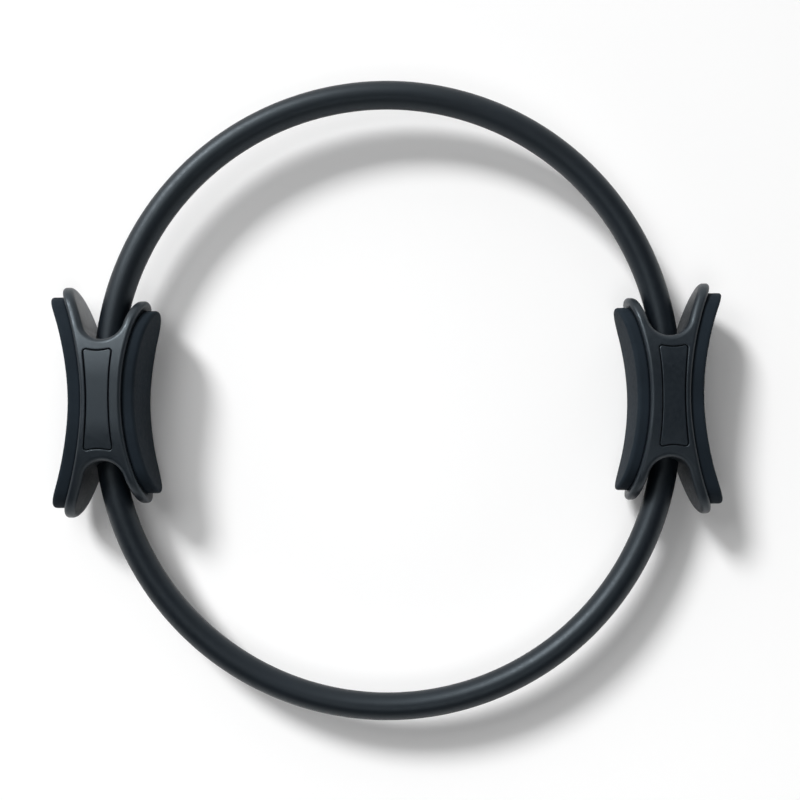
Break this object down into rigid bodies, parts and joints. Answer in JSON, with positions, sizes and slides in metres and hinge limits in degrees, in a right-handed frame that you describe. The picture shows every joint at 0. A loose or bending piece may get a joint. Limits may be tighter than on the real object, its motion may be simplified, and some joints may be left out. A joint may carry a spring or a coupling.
{
  "type": "pilates ring",
  "caption": "Sprung exercise hoop with a padded two-faced grip on each side, squeezed between the hands, knees or ankles.",
  "frame": {"origin": "centre of the ring, on the mid plane of the hoop", "axes": "+Z along the ring's axis, +X through the middle of the right handle, +Y towards the upper half hoop"},
  "size_m": [0.3776, 0.3616, 0.048],
  "materials": {
    "sleeve_rubber": "satin moulded rubber",
    "core_fibreglass": "pultruded fibreglass",
    "shell_plastic": "fine-textured moulded plastic",
    "pad_rubber": "matte soft rubber",
    "badge_plastic": "satin moulded plastic",
    "joiner_nylon": "glass-filled nylon",
    "fastener_steel": "zinc-plated"
  },
  "bodies": {
    "hoop_and_left_handle": {"upper_sleeve": "sleeve_rubber", "upper_core": "core_fibreglass", "lower_sleeve": "sleeve_rubber", "lower_core": "core_fibreglass", "left_front_shell": "shell_plastic", "left_rear_shell": "shell_plastic", "left_outer_pad": "pad_rubber", "left_inner_pad": "pad_rubber", "left_front_badge": "badge_plastic", "left_rear_badge": "badge_plastic", "left_joiner": "joiner_nylon", "left_screws": "fastener_steel", "left_nuts": "fastener_steel"},
    "right_handle": {"right_front_shell": "shell_plastic", "right_rear_shell": "shell_plastic", "right_outer_pad": "pad_rubber", "right_inner_pad": "pad_rubber", "right_front_badge": "badge_plastic", "right_rear_badge": "badge_plastic", "right_joiner": "joiner_nylon", "right_screws": "fastener_steel", "right_nuts": "fastener_steel"}
  },
  "joints": [
    {"name": "squeeze", "type": "slide", "parent": "hoop_and_left_handle", "child": "right_handle", "axis": [-1, 0, 0], "range_m": [-0.02, 0.06], "stiffness_N_per_m": 2000, "deforming": ["upper_sleeve", "upper_core", "lower_sleeve", "lower_core"]}
  ]
}
